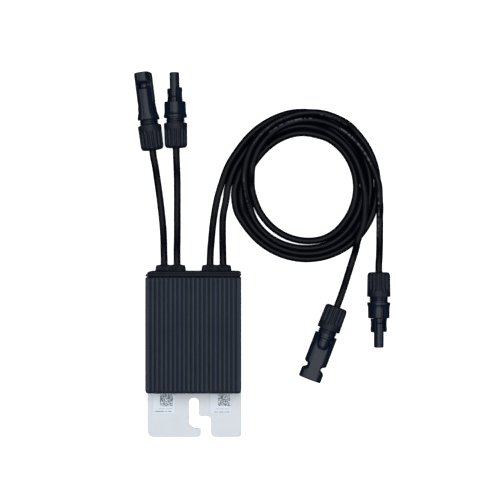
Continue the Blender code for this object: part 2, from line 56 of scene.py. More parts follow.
# Leads
CABLE_D = 5.6
CABLE_Z = 13.1
CABLE_IN = 24.0
STRAIGHT = 6.0
TERMINAL_END = 52.5
INPUT_X = -18.3
OUTPUT_X = 18.0
CABLE_SPACING = 10.2
GROMMET_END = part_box("input_grommet")[1].y / MM
AXIS_Z = 9.8

# Name, kind, cable end of the nut (x, y), heading of its axis in degrees, roll in degrees
CONNECTORS = {
    "input_socket": ("socket", (-32.85, 159.95), 97.2, 81.0),
    "input_plug": ("plug", (-14.15, 161.7), 91.4, -48.0),
    "output_socket": ("socket", (113.45, 35.6), 249.15, 0.0),
    "output_plug": ("plug", (146.6, 63.0), 270.0, -35.0),
}

# Routes of the leads outside the housing, (x, y, z), as the part has them
INPUT_SOCKET_ROUTE = [
    (-23.8, 81.0, 10.6), (-24.1, 88.0, 7.8), (-24.9, 99.0, 4.8), (-26.3, 112.0, 3.3),
    (-28.0, 125.7, 3.1), (-29.6, 138.0, 5.4), (-30.9, 148.0, 8.8),
]
INPUT_PLUG_ROUTE = [
    (-13.4, 81.0, 10.6), (-13.4, 88.0, 7.8), (-13.5, 99.0, 4.8), (-13.6, 112.0, 3.3),
    (-13.6, 125.7, 3.1), (-13.6, 138.0, 5.0), (-13.8, 149.0, 8.6),
]
OUTPUT_LEFT_ROUTE = [
    (13.2, 80.5, 10.6), (13.9, 90.0, 7.4), (14.8, 100.1, 4.8), (16.6, 112.9, 3.4),
    (19.3, 125.7, 3.0), (21.4, 132.3, 2.9),
]
OUTPUT_RIGHT_ROUTE = [
    (22.9, 80.5, 10.6), (22.65, 90.0, 7.4), (22.6, 100.1, 4.8), (23.1, 109.5, 3.4),
]
TAIL_SOCKET_ROUTE = [
    (128.7, 80.4, 3.6), (126.7, 74.0, 3.2), (124.9, 68.2, 3.3), (121.0, 56.4, 6.0),
    (118.6, 49.5, 8.4),
]
TAIL_PLUG_ROUTE = [(148.1, 104.1, 3.6), (148.0, 94.0, 3.2), (147.7, 84.0, 5.4), (147.1, 75.0, 8.6)]

# Coil of the two output leads: (degrees, radius) that each lead passes, turning clockwise, with a
# height where it lies on other strands and not on the floor
COIL_CENTRE = (87.9, 132.2)
ON_FLOOR = 2.9
LEFT_TURNS = [
    (174, 64.8), (170, 63.3), (160, 60.9), (150, 59.4), (140, 58.8), (130, 58.5), (110, 58.5),
    (90, 58.6), (80, 58.2), (70, 57.0), (60, 55.4), (45, 53.8), (30, 52.9), (0, 52.5), (-30, 53.6),
    (-45, 54.2, 4.0), (-70, 55.0, 6.4), (-90, 54.4, 6.8), (-120, 53.8, 6.8), (-145, 53.0, 6.4),
    (-165, 52.0, 5.4), (-180, 49.4, 3.4), (-195, 45.8), (-210, 43.4), (-225, 42.5), (-250, 42.2),
    (-270, 42.6), (-315, 41.3), (-340, 41.0), (-360, 41.3), (-380, 42.2), (-400, 43.6), (-420, 45.4),
    (-435, 45.2), (-450, 44.2), (-480, 42.5), (-500, 41.5), (-520, 41.4), (-535, 41.8, 4.4),
    (-550, 43.2, 8.0), (-565, 45.0, 9.6), (-580, 47.0, 9.6), (-600, 49.4, 9.2), (-630, 52.0, 8.9),
    (-675, 53.0, 8.9), (-695, 54.0, 8.9), (-705, 55.4, 8.9), (-712, 57.3, 8.9), (-720, 59.0, 8.6),
    (-730, 60.6, 6.6),
]
RIGHT_TURNS = [
    (190, 64.2), (180, 60.8), (170, 57.8), (160, 55.4), (150, 53.9), (140, 53.2), (120, 52.9),
    (90, 53.0), (75, 51.8), (60, 49.8), (45, 48.2), (30, 47.4), (0, 46.9), (-30, 48.0), (-45, 49.4),
    (-70, 51.2), (-90, 50.4), (-110, 50.0), (-130, 49.6), (-145, 48.6, 3.0), (-160, 47.6, 4.6),
    (-170, 47.2, 6.6), (-180, 47.6, 8.6), (-190, 48.6, 9.4), (-205, 50.4, 9.4), (-220, 52.2, 9.2),
    (-239, 54.2, 8.9), (-255, 55.8, 8.9), (-270, 57.4, 8.9), (-285, 58.9, 7.6), (-300, 59.0, 5.4),
    (-315, 59.0, 3.4), (-330, 58.7), (-365, 58.2), (-400, 59.4), (-420, 59.5), (-450, 58.7),
    (-480, 57.5), (-500, 56.9), (-520, 57.2), (-530, 56.9), (-540, 55.4), (-550, 52.8), (-560, 50.2),
    (-570, 48.6), (-585, 47.6), (-630, 47.4), (-645, 46.8, 3.6), (-660, 46.0, 6.0), (-675, 45.3, 8.0),
    (-710, 45.2, 8.0), (-722, 46.8, 8.9), (-735, 49.6, 8.9), (-749, 53.9, 8.9), (-758, 57.5, 8.4),
    (-766, 61.6, 6.4),
]


# ---------------------------------------------------------------- camera, floor and light

def in_scene(name, data):
    obj = bpy.data.objects.new(name, data)
    bpy.context.scene.collection.objects.link(obj)
    return obj


def set_stage():
    scene = bpy.context.scene
    scene.view_settings.view_transform = "Standard"
    camera_data = bpy.data.cameras.new("camera")
    camera_data.sensor_width = 36.0
    camera_data.lens = 94.42
    scene.camera = in_scene("camera", camera_data)
    scene.camera.location = (0.04445, 0.0806, 1.05)

    floor_form = bmesh.new()
    bmesh.ops.create_grid(floor_form, x_segments=1, y_segments=1, size=3.0)
    floor_mesh = bpy.data.meshes.new("floor")
    floor_form.to_mesh(floor_mesh)
    floor_form.free()
    floor = in_scene("floor", floor_mesh)
    floor.location = (0.0, 0.0, -0.0002)
    white = Nodes("floor_white", roughness=0.9, specular=0.0)
    white.shader.inputs["Emission Color"].default_value = (1.0, 1.0, 1.0, 1.0)
    white.shader.inputs["Emission Strength"].default_value = 0.8
    floor_mesh.materials.append(white.finish((0.9, 0.9, 0.9, 1.0)))
    floor.visible_diffuse = False
    floor.visible_glossy = False

    scene.world = bpy.data.worlds.new("studio")
    scene.world.use_nodes = True
    sky = scene.world.node_tree.nodes["Background"].inputs
    sky["Color"].default_value = (0.86, 0.92, 1.0, 1.0)
    sky["Strength"].default_value = 0.04
    for name, place, size, power, tint in (
        ("soft_box_top", (0.05, 0.12, 1.3), 1.5, 18.0, (0.93, 0.96, 1.0)),
        ("soft_box_left", (-1.0, 0.3, 0.8), 0.5, 2.0, (0.90, 0.95, 1.0)),
        ("soft_box_right", (1.1, 0.0, 0.7), 0.5, 2.0, (0.92, 0.96, 1.0)),
    ):
        light = bpy.data.lights.new(name, "AREA")
        light.shape = "DISK"
        light.size = size
        light.energy = power
        light.color = tint
        lamp = in_scene(name, light)
        lamp.location = place
        aim = Vector((0.05, 0.08, 0.0)) - Vector(place)
        lamp.rotation_euler = aim.to_track_quat("-Z", "Y").to_euler()
        lamp.visible_camera = False


# ---------------------------------------------------------------- routes of the leads

def smooth_route(points, spacing):
    """Points about `spacing` apart on one smooth curve through a list of route points."""
    route = [Vector(point) for point in points]
    ends = [2 * route[0] - route[1], *route, 2 * route[-1] - route[-2]]
    found = []
    for before, start, end, after in zip(ends, ends[1:], ends[2:], ends[3:]):
        pieces = max(1, round((end - start).length / spacing))
        leave = (end - before) * ((end - start).length / (end - before).length)
        arrive = (after - start) * ((end - start).length / (after - start).length)
        for k in range(pieces):
            t = k / pieces
            found.append(
                start * (2 * t**3 - 3 * t**2 + 1) + leave * (t**3 - 2 * t**2 + t)
                + end * (3 * t**2 - 2 * t**3) + arrive * (t**3 - t**2)
            )
    found.append(route[-1])
    return np.array(found)


def even_steps(line, step):
    """The same line with its points one even step apart."""
    along = np.concatenate(([0.0], np.cumsum(np.linalg.norm(np.diff(line, axis=0), axis=1))))
    places = np.linspace(0.0, along[-1], max(2, round(along[-1] / step) + 1))
    return np.stack([np.interp(places, along, line[:, axis]) for axis in range(3)], axis=1)


def lead_start(x):
    """The run of a lead from its terminal through its grommet."""
    return [(x, TERMINAL_END, CABLE_Z), (x, 61.0, CABLE_Z), (x, GROMMET_END + 1.7, CABLE_Z - 0.2)]


def lead_end(connector):
    """The straight run of a lead into its connector."""
    _, exit_xy, heading, _ = CONNECTORS[connector]
    ahead = Vector((math.cos(math.radians(heading)), math.sin(math.radians(heading)), 0.0))
    start = Vector((*exit_xy, AXIS_Z))
    return [tuple(start + ahead * d) for d in (-STRAIGHT, -STRAIGHT / 2, 0.0, CABLE_IN / 2, CABLE_IN)]


def turn_points(stations, step=6.0):
    """Route points every few degrees round the coil, eased between the stations."""
    full = [(*station, ON_FLOOR)[:3] for station in stations]
    degrees, radii, heights = (np.array(column, float) for column in zip(*full))
    angles = np.linspace(degrees[0], degrees[-1], int((degrees[0] - degrees[-1]) / step) + 1)
    ease = np.array([1.0, 2.0, 3.0, 2.0, 1.0]) / 9.0
    eased = []
    for values in (radii, heights):
        raw = np.interp(-angles, -degrees, values)
        eased.append(np.convolve(np.pad(raw, 2, mode="edge"), ease, "valid"))
    turn = np.radians(angles)
    x = COIL_CENTRE[0] + eased[0] * np.cos(turn)
    y = COIL_CENTRE[1] + eased[0] * np.sin(turn)
    return list(zip(x, y, eased[1]))


def settle(lines, rounds=240):
    """Lets the coiled leads sink under their weight onto the floor and each other.

    Each point sinks in millimetres a round, is pulled by a share towards its place in the coil,
    pushed a diameter away from every strand that it meets, and bent back towards a smooth line.
    The points held at both ends of a lead stay where they are.
    """
    held, sink, pull, stiffness = 22, 0.06, 0.15, 0.5
    plan = np.concatenate(lines)
    points = plan.copy()
    owner = np.concatenate([np.full(len(line), k) for k, line in enumerate(lines)])
    order = np.concatenate([np.arange(len(line)) for line in lines])
    starts = np.cumsum([0] + [len(line) for line in lines])
    free = np.ones(len(points))
    for first, last in zip(starts, starts[1:]):
        free[first:first + held] = 0.0
        free[last - held:last] = 0.0
    one, two = np.triu_indices(len(points), 1)
    step = np.linalg.norm(lines[0][1] - lines[0][0])
    apart = (owner[one] != owner[two]) | (np.abs(order[one] - order[two]) >= 2.2 * CABLE_D / step)
    close = np.linalg.norm(points[one] - points[two], axis=1) < 4 * CABLE_D
    one, two = one[apart & close], two[apart & close]
    for turn in range(rounds):
        points[:, 2] -= (sink if turn < rounds * 0.8 else sink / 2) * free
        points[:, :2] += (plan[:, :2] - points[:, :2]) * pull * free[:, None]
        for _ in range(3):
            gap = points[one] - points[two]
            length = np.linalg.norm(gap, axis=1) + 1e-9
            hit = length < CABLE_D
            a, b = one[hit], two[hit]
            push = gap[hit] / length[hit, None] * ((CABLE_D - length[hit]) / 2)[:, None]
            share = np.maximum(free[a] + free[b], 1e-9)
            move, meets = np.zeros_like(points), np.zeros(len(points))
            np.add.at(move, a, push * (2 * free[a] / share)[:, None])
            np.add.at(move, b, -push * (2 * free[b] / share)[:, None])
            np.add.at(meets, a, 1.0)
            np.add.at(meets, b, 1.0)
            points += move / np.maximum(1.0, meets / 2)[:, None]
            for first, last in zip(starts, starts[1:]):
                run = points[first:last]
                smooth = run.copy()
                smooth[2:-2] = (4 * run[1:-3] + 4 * run[3:-1] - run[:-4] - run[4:]) / 6
                run += (smooth - run) * stiffness * free[first:last, None]
            floor = np.where(free > 0, CABLE_D / 2 + 0.05, points[:, 2])
            points[:, 2] = np.maximum(points[:, 2], floor)
    return [points[first:last] for first, last in zip(starts, starts[1:])]


# ---------------------------------------------------------------- mesh tools

def finish_piece(name, mesh, material, body="root", nodes=(), sharp=32.0):
    """A mesh in metres, in the row frame, becomes a piece that rides on a body."""
    obj = in_scene(name, mesh)
    mesh.materials.clear()
    mesh.materials.append(material)
    mesh.shade_smooth()
    mesh.set_sharp_from_angle(angle=math.radians(sharp))
    even = obj.modifiers.new("even_normals", "WEIGHTED_NORMAL")
    even.keep_sharp = True
    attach(obj, body)
    if nodes:
        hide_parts(*nodes)
    return obj


def to_mesh(name, form, place=ORIGIN):
    """A bmesh in millimetres becomes a mesh in metres, moved to its place."""
    bmesh.ops.recalc_face_normals(form, faces=form.faces)
    mesh = bpy.data.meshes.new(name)
    form.to_mesh(mesh)
    form.free()
    mesh.transform(Matrix.Scale(MM, 4))
    mesh.transform(place)
    return mesh


def applied(base, *tools):
    """An object's mesh with its modifiers applied. The object and its tools are removed."""
    bpy.context.view_layer.update()
    graph = bpy.context.evaluated_depsgraph_get()
    made = bpy.data.meshes.new_from_object(base.evaluated_get(graph))
    for obj in (base, *tools):
        bpy.data.objects.remove(obj, do_unlink=True)
    return made


def carve(mesh, steps):
    """Applies (operation, mesh) steps to a mesh, one Boolean after the other."""
    base = in_scene("carved", mesh)
    tools = [in_scene("tool", tool_mesh) for _, tool_mesh in steps]
    for tool, (operation, _) in zip(tools, steps):
        modifier = base.modifiers.new("carve", "BOOLEAN")
        modifier.operation = operation
        modifier.object = tool
        modifier.solver = "EXACT"
    return applied(base, *tools)


def cut(form, place=ORIGIN):
    """A step for `carve` that takes a form away."""
    return "DIFFERENCE", to_mesh("cut", form, place)


def grow(form, place=ORIGIN):
    """A step for `carve` that adds a form."""
    return "UNION", to_mesh("grown", form, place)


def join_rings(form, rings, caps=True, loop=False):
    """Quads between rings of vertices, each as long as the next or a single point."""
    pairs = list(zip(rings, rings[1:]))
    if loop:
        pairs.append((rings[-1], rings[0]))
    for near, far in pairs:
        for k in range(max(len(near), len(far))):
            corners = [near[k % len(near)], near[(k + 1) % len(near)],
                       far[(k + 1) % len(far)], far[k % len(far)]]
            corners = list(dict.fromkeys(corners))
            if len(corners) > 2:
                form.faces.new(corners)
    if caps and not loop:
        for ring in (rings[0], rings[-1]):
            if len(ring) > 2:
                form.faces.new(ring)


def lathe(profile, steps=64, loop=False, radius=None):
    """A profile of (radius, z) turned about Z. `radius` may reshape it as a function of r, z, angle."""
    form = bmesh.new()
    rings = []
    for r, z in profile:
        if r < 1e-6:
            rings.append([form.verts.new((0.0, 0.0, z))])
            continue
        ring = []
        for k in range(steps):
            angle = math.tau * k / steps
            reach = radius(r, z, angle) if radius else r
            ring.append(form.verts.new((reach * math.cos(angle), reach * math.sin(angle), z)))
        rings.append(ring)
    join_rings(form, rings, loop=loop)
    return form


def loft(sections):
    """A closed solid through rings of points that all have the same length."""
    form = bmesh.new()
    join_rings(form, [[form.verts.new(point) for point in section] for section in sections])
    return form


def rounded(corners, steps=6):
    """An outline through (x, y, radius) corners, each turned into an arc."""
    outline = []
    for i, (x, y, radius) in enumerate(corners):
        corner = Vector((x, y))
        back = (Vector(corners[i - 1][:2]) - corner).normalized()
        ahead = (Vector(corners[(i + 1) % len(corners)][:2]) - corner).normalized()
        half = back.angle(ahead) / 2
        reach = radius / math.tan(half)
        centre = corner + (back + ahead).normalized() * (radius / math.sin(half))
        start = corner + back * reach - centre
        end = corner + ahead * reach - centre
        turn = math.atan2(start.x * end.y - start.y * end.x, start.dot(end))
        for k in range(steps + 1):
            outline.append(centre + Matrix.Rotation(turn * k / steps, 2) @ start)
    return outline


def rounded_box(left, low, right, high, radius, steps=6):
    return rounded([(left, low, radius), (right, low, radius), (right, high, radius),
                    (left, high, radius)], steps)


def stack_z(outlines):
    """A solid through (outline, z) pairs, each outline given as x and y."""
    return loft([[(x, y, z) for x, y in outline] for outline, z in outlines])


def stack_y(outlines):
    """A solid through (outline, y) pairs, each outline given as x and z."""
    return loft([[(x, y, z) for x, z in outline] for outline, y in outlines])


def prism(outline, low, high):
    return stack_z([(outline, low), (outline, high)])


def prism_y(outline, low, high):
    return stack_y([(outline, low), (outline, high)])


def bar(radius, low, high, steps=48):
    return lathe([(0.0, low), (radius, low), (radius, high), (0.0, high)], steps)


def box_form(one, other):
    """A box between any two opposite corners."""
    left, front, low = map(min, one, other)
    right, back, high = map(max, one, other)
    return prism([(left, front), (right, front), (right, back), (left, back)], low, high)


def soften(mesh, width, segments=2, angle=40.0):
    """Rounds a mesh's sharp edges."""
    obj = in_scene("soft", mesh)
    modifier = obj.modifiers.new("bevel", "BEVEL")
    modifier.width = width * MM
    modifier.segments = segments
    modifier.limit_method = "ANGLE"
    modifier.angle_limit = math.radians(angle)
    return applied(obj)


ALONG_Y = Matrix.Rotation(-math.pi / 2, 4, "X")


def at(x, y, z, turn=ORIGIN):
    """A place given in millimetres."""
    return Matrix.Translation(Vector((x, y, z)) * MM) @ turn


def axis_frame(connector):
    """A connector's frame: Z runs from the cable towards the mating end, X is its broad way."""
    _, exit_xy, heading, roll = CONNECTORS[connector]
    turn = Matrix.Rotation(math.radians(heading + 90.0), 4, "Z")
    lay = Matrix.Rotation(math.pi / 2, 4, "X")
    spin = Matrix.Rotation(math.radians(roll), 4, "Z")
    return Matrix.Translation(Vector((*exit_xy, AXIS_Z)) * MM) @ turn @ lay @ spin


# ---------------------------------------------------------------- materials

class Nodes:
    """A material's nodes, each added by a short call."""

    def __init__(self, name, roughness=0.5, metallic=0.0, specular=0.5):
        self.material = bpy.data.materials.new(name)
        self.material.use_nodes = True
        self.tree = self.material.node_tree
        self.shader = self.tree.nodes["Principled BSDF"]
        self.shader.inputs["Roughness"].default_value = roughness
        self.shader.inputs["Metallic"].default_value = metallic
        self.shader.inputs["Specular IOR Level"].default_value = specular
        self.object_place = self.add("ShaderNodeTexCoord").outputs["Object"]

    def add(self, kind, **settings):
        node = self.tree.nodes.new(kind)
        for key, value in settings.items():
            setattr(node, key, value)
        return node

    def link(self, source, target):
        self.tree.links.new(source, target)

    def put(self, socket, value):
        if isinstance(value, bpy.types.NodeSocket):
            self.link(value, socket)
        else:
            socket.default_value = value

    def maths(self, operation, a, b=0.0):
        node = self.add("ShaderNodeMath", operation=operation)
        for socket, value in zip(node.inputs, (a, b)):
            self.put(socket, value)
        return node.outputs[0]

    def laid(self, kind, place, output, numbers, **settings):
        """A texture or mapping over a place, which is the object's own unless another is given."""
        node = self.add(kind, **settings)
        for key, value in numbers.items():
            node.inputs[key].default_value = value
        self.link(place or self.object_place, node.inputs["Vector"])
        return node.outputs[output]

    def stretch(self, scale, place=None):
        return self.laid("ShaderNodeMapping", place, 0, {"Scale": scale})

    def parts(self, place=None):
        """The x, y and z of a place."""
        split = self.add("ShaderNodeSeparateXYZ")
        self.link(place or self.object_place, split.inputs[0])
        return split.outputs

    def times(self, a, b):
        return self.maths("MULTIPLY", a, b)

    def inside(self, value, low, high):
        above = self.maths("GREATER_THAN", value, low)
        return self.times(above, self.maths("LESS_THAN", value, high))

    def chance(self, *cell):
        """A random number for each cell of a grid, given by two or three numbers."""
        join = self.add("ShaderNodeCombineXYZ")
        for socket, value in zip(join.inputs, cell):
            self.put(socket, value)
        random = self.add("ShaderNodeTexWhiteNoise", noise_dimensions=f"{len(cell)}D")
        self.link(join.outputs[0], random.inputs["Vector"])
        return random.outputs["Value"]

    def noise(self, scale, detail=3.0, rough=0.5, place=None):
        numbers = {"Scale": scale, "Detail": detail, "Roughness": rough}
        return self.laid("ShaderNodeTexNoise", place, "Fac", numbers)

    def ranged(self, value, low, high, to_low, to_high):
        node = self.add("ShaderNodeMapRange")
        for socket, number in zip(node.inputs, (value, low, high, to_low, to_high)):
            self.put(socket, number)
        return node.outputs[0]

    def blend(self, share, one, two):
        node = self.add("ShaderNodeMix", data_type="RGBA")
        self.put(node.inputs["Factor"], share)
        for socket, value in ((node.inputs[6], one), (node.inputs[7], two)):
            self.put(socket, value if isinstance(value, bpy.types.NodeSocket) else (*value, 1.0))
        return node.outputs[2]

    def sum_of(self, one, share, two):
        """Two patterns added, the first one by its share."""
        return self.maths("ADD", self.times(one, share), self.times(two, round(1 - share, 2)))

    def mottled(self, tone, dark, light):
        """Dark to light over the middle of a pattern's range."""
        return self.blend(self.ranged(tone, 0.35, 0.65, 0.0, 1.0), dark, light)

    def bump(self, height, strength, distance, under=None):
        node = self.add("ShaderNodeBump")
        node.inputs["Strength"].default_value = strength
        node.inputs["Distance"].default_value = distance * MM
        self.link(height, node.inputs["Height"])
        if under:
            self.link(under, node.inputs["Normal"])
        return node.outputs[0]

    def finish(self, colour, normal=None, roughness=None):
        self.put(self.shader.inputs["Base Color"], colour)
        if normal:
            self.link(normal, self.shader.inputs["Normal"])
        if roughness:
            self.link(roughness, self.shader.inputs["Roughness"])
        return self.material


def grained(name, dark, light, roughness, grain, depth, cloud=60.0, metallic=0.0, specular=0.5,
            spread=0.08):
    """A moulded or cast surface: cloudy tone, fine grain in the surface and in the gloss."""
    nodes = Nodes(name, metallic=metallic, specular=specular)
    clouds = nodes.noise(cloud, 4.0, 0.6)
    fine = nodes.noise(grain, 3.0, 0.6)
    colour = nodes.mottled(nodes.sum_of(clouds, 0.6, fine), dark, light)
    gloss = nodes.ranged(fine, 0.3, 0.7, roughness - spread, roughness + spread)
    return nodes.finish(colour, nodes.bump(fine, 0.5, depth), gloss)


def make_housing_plastic():
    nodes = Nodes("housing_plastic", specular=0.12)
    clouds = nodes.noise(38.0, 4.0, 0.6)
    speck = nodes.noise(2600.0, 2.0, 0.6)
    streak = nodes.noise(300.0, 3.0, 0.6, nodes.stretch((1.0, 0.05, 1.0)))
    tone = nodes.sum_of(clouds, 0.55, streak)
    colour = nodes.mottled(tone, (0.0185, 0.0265, 0.043), (0.0270, 0.0355, 0.0535))
    # Painted shade: below the rib crowns (from 25.2 mm down to 24.2 mm in object height and lower) the
    # colour is blended towards near black. This makes the groove floors look shaded, and it also darkens
    # the lower sides and ends of the housing.
    painted_groove_shade = nodes.ranged(nodes.parts()[2], 0.0242, 0.0252, 0.62, 0.0)
    colour = nodes.blend(painted_groove_shade, colour, (0.006, 0.008, 0.012))
    skin = nodes.bump(speck, 0.35, 0.05)
    return nodes.finish(colour, skin, nodes.ranged(speck, 0.3, 0.7, 0.46, 0.62))


def make_rubber():
    nodes = Nodes("rubber", specular=0.08)
    blotch = nodes.noise(900.0, 4.0, 0.65)
    fine = nodes.noise(3500.0, 2.0, 0.5)
    colour = nodes.blend(nodes.ranged(blotch, 0.42, 0.62, 0.0, 1.0), (0.0015, 0.0022, 0.0050),
                         (0.0200, 0.0240, 0.0350))
    skin = nodes.bump(fine, 0.3, 0.06, nodes.bump(blotch, 0.6, 0.25))
    return nodes.finish(colour, skin, nodes.ranged(blotch, 0.3, 0.7, 0.75, 0.6))


def make_sheet_coat():
    nodes = Nodes("coated_sheet", metallic=0.0, specular=0.45)
    clouds = nodes.noise(26.0, 4.0, 0.6)
    peel = nodes.noise(650.0, 2.0, 0.5)
    streak = nodes.noise(160.0, 4.0, 0.7, nodes.stretch((0.04, 1.0, 1.0)))
    colour = nodes.mottled(nodes.sum_of(clouds, 0.6, streak), (0.705, 0.73, 0.75), (0.755, 0.772, 0.785))
    return nodes.finish(colour, nodes.bump(peel, 0.25, 0.08), nodes.ranged(streak, 0.3, 0.7, 0.4, 0.52))


def make_label(name, seed, code_box, lines):
    """Paper with a block of random squares and broken grey bars, in the label's own millimetres."""
    nodes = Nodes(name, specular=0.35)
    x, y = (nodes.maths("DIVIDE", part, MM) for part in nodes.parts()[:2])

    def region(left, bottom, right, top):
        return nodes.times(nodes.inside(x, left, right), nodes.inside(y, bottom, top))

    def cells(size_x, size_y, turn):
        place = [nodes.maths("FLOOR", nodes.maths("DIVIDE", value, size))
                 for value, size in ((x, size_x), (y, size_y))]
        return nodes.chance(*place, seed + turn)

    blocks = nodes.maths("GREATER_THAN", cells(0.58, 0.58, 0.0), 0.47)
    ink = nodes.times(blocks, region(*code_box))
    for turn, (left, bottom, right, top, weight) in enumerate(lines):
        dashes = nodes.ranged(cells(0.55, 9.0, 3.0 + turn), 0.15, 0.55, 0.15, weight)
        bar_ink = nodes.times(dashes, region(left, bottom, right, top))
        ink = nodes.maths("MAXIMUM", ink, bar_ink)
    fibre = nodes.noise(1800.0, 3.0, 0.6)
    paper = nodes.blend(nodes.noise(90.0, 3.0), (0.755, 0.80, 0.855), (0.81, 0.85, 0.90))
    colour = nodes.blend(nodes.times(ink, 0.9), paper, (0.045, 0.075, 0.10))
    return nodes.finish(colour, nodes.bump(fibre, 0.2, 0.03), nodes.ranged(fibre, 0.3, 0.7, 0.42, 0.55))


def make_jacket(name, marks, seed):
    """Cable jacket: fine drawn lines along the lead, and a row of faint printed dashes.

    `marks` gives where the row starts and ends along the lead in millimetres, and how strong it is.
    """
    nodes = Nodes(name, specular=0.10)
    lay = nodes.add("ShaderNodeUVMap", uv_map="lay").outputs[0]
    along, around, _ = nodes.parts(lay)
    drawn = nodes.noise(22.0, 3.0, 0.6, nodes.stretch((0.003, 3.0, 1.0), lay))
    clouds = nodes.noise(70.0, 3.0, 0.6)
    colour = nodes.mottled(clouds, (0.0008, 0.0012, 0.0032), (0.0020, 0.0028, 0.0058))
    if marks:
        first, last, weight = marks
        dashes = nodes.chance(nodes.maths("FLOOR", nodes.maths("DIVIDE", along, 0.9)), seed)
        dash = nodes.maths("GREATER_THAN", dashes, 0.42)
        group = nodes.maths("LESS_THAN", nodes.maths("FRACT", nodes.maths("DIVIDE", along, 62.0)), 0.62)
        drift = nodes.ranged(along, first, last, 0.15, 0.35)
        off = nodes.maths("ABSOLUTE", nodes.maths("SUBTRACT", around, drift))
        near = nodes.maths("LESS_THAN", off, 0.034)
        band = nodes.times(near, nodes.inside(along, first, last))
        printed = nodes.times(nodes.times(dash, group), band)
        worn = nodes.ranged(nodes.noise(420.0, 2.0), 0.4, 0.6, 0.2 * weight, weight)
        colour = nodes.blend(nodes.times(printed, worn), colour, (0.20, 0.22, 0.25))
    skin = nodes.bump(drawn, 0.3, 0.05)
    return nodes.finish(colour, skin, nodes.ranged(drawn, 0.3, 0.7, 0.28, 0.42))


def make_board():
    nodes = Nodes("circuit_board", roughness=0.4)
    tracks = nodes.laid("ShaderNodeTexVoronoi", None, "Distance", {"Scale": 160.0},
                        feature="DISTANCE_TO_EDGE")
    line = nodes.maths("LESS_THAN", tracks, 0.08)
    mask = nodes.blend(nodes.noise(80.0), (0.012, 0.085, 0.035), (0.018, 0.12, 0.05))
    colour = nodes.blend(nodes.times(line, 0.6), mask, (0.05, 0.26, 0.10))
    return nodes.finish(colour, nodes.bump(tracks, 0.3, 0.05))


def make_winding():
    nodes = Nodes("copper_winding", roughness=0.3, metallic=1.0)
    turns = nodes.laid("ShaderNodeTexWave", None, "Fac", {"Scale": 260.0, "Distortion": 0.3},
                       wave_type="BANDS", bands_direction="Z")
    colour = nodes.blend(turns, (0.42, 0.16, 0.06), (0.78, 0.38, 0.18))
    return nodes.finish(colour, nodes.bump(turns, 0.8, 0.2))


def brushed(name, dark, light, roughness, direction=(1.0, 0.06, 1.0), scale=900.0):
    """A bare metal with fine lines one way."""
    nodes = Nodes(name, metallic=1.0)
    lines = nodes.noise(scale, 3.0, 0.6, nodes.stretch(direction))
    patches = nodes.noise(120.0, 3.0, 0.5)
    colour = nodes.mottled(patches, dark, light)
    gloss = nodes.ranged(lines, 0.3, 0.7, roughness - 0.08, roughness + 0.1)
    return nodes.finish(colour, nodes.bump(lines, 0.3, 0.03), gloss)


# ---------------------------------------------------------------- leads

def tube(name, line, material, nodes):
    """A round lead along a line in millimetres, with its lay kept as a UV map."""
    sides = 28
    radius = CABLE_D / 2
    form = bmesh.new()
    lay = form.loops.layers.uv.new("lay")
    ahead = np.gradient(line, axis=0)
    ahead /= np.linalg.norm(ahead, axis=1)[:, None]
    along = np.concatenate(([0.0], np.cumsum(np.linalg.norm(np.diff(line, axis=0), axis=1))))
    up = np.array([0.0, 0.0, 1.0])
    rings = []
    for point, way in zip(line, ahead):
        up = up - way * up.dot(way)
        up /= np.linalg.norm(up)
        side = np.cross(up, way)
        ring = []
        for angle in (math.tau * k / sides for k in range(sides)):
            place = point + radius * (side * math.cos(angle) + up * math.sin(angle))
            ring.append(form.verts.new(place))
        rings.append(ring)
    for i in range(len(rings) - 1):
        for k in range(sides):
            far = (k + 1) % sides
            face = form.faces.new((rings[i][k], rings[i][far], rings[i + 1][far], rings[i + 1][k]))
            spots = ((along[i], k), (along[i], k + 1), (along[i + 1], k + 1), (along[i + 1], k))
            for loop, (u, v) in zip(face.loops, spots):
                loop[lay].uv = (u, v / sides)
    form.faces.new(rings[0])
    form.faces.new(rings[-1])
    mesh = to_mesh(name, form)
    return finish_piece(name, mesh, material, nodes=nodes, sharp=50.0)


def make_leads():
    plain = make_jacket("cable_jacket_plain", None, 1.0)
    printed = make_jacket("cable_jacket_printed", (745.0, 905.0, 0.55), 2.0)
    faint = make_jacket("cable_jacket_marked", (330.0, 520.0, 0.2), 5.0)
    side = CABLE_SPACING / 2
    # Name, x of the lead in its grommet, route, connector, jacket, CAD nodes
    leads = [
        ("input_cable_socket", INPUT_X - side, INPUT_SOCKET_ROUTE, "input_socket", plain,
         ["input_lead_socket"]),
        ("input_cable_plug", INPUT_X + side, INPUT_PLUG_ROUTE, "input_plug", plain,
         ["input_lead_plug"]),
        ("output_cable_left", OUTPUT_X - side,
         OUTPUT_LEFT_ROUTE + turn_points(LEFT_TURNS) + TAIL_PLUG_ROUTE, "output_plug", printed,
         ["output_lead_left", "output_coil", "output_tail_plug"]),
        ("output_cable_right", OUTPUT_X + side,
         OUTPUT_RIGHT_ROUTE + turn_points(RIGHT_TURNS) + TAIL_SOCKET_ROUTE, "output_socket", faint,
         ["output_lead_right", "output_coil", "output_tail_socket"]),
    ]
    routes = [lead_start(x) + route + lead_end(connector) for _, x, route, connector, _, _ in leads]
    short = [even_steps(smooth_route(route, 1.5), 1.5) for route in routes[:2]]
    coiled = settle([even_steps(smooth_route(route, 2.0), 2.5) for route in routes[2:]])
    coiled = [even_steps(smooth_route(line, 1.25), 1.25) for line in coiled]
    for line, (name, x, _, connector, jacket, nodes) in zip(short + coiled, leads):
        piece = tube(name, line, jacket, nodes)


# ---------------------------------------------------------------- housing and bracket

RIB_COUNT = 21
RIB_PITCH = 3.51
GROOVE_W = 1.3
GROOVE_DEPTH = 1.6
WALL = 2.3
ROOF_Z = 21.6
BOSS_X = 33.6
BOSS_R = 2.6
SCREW_HEAD = 1.6
RIVET_X = 24.0
RIVET_Y = 20.0


def box_mm(node):
    low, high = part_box(node)
    return low / MM, high / MM


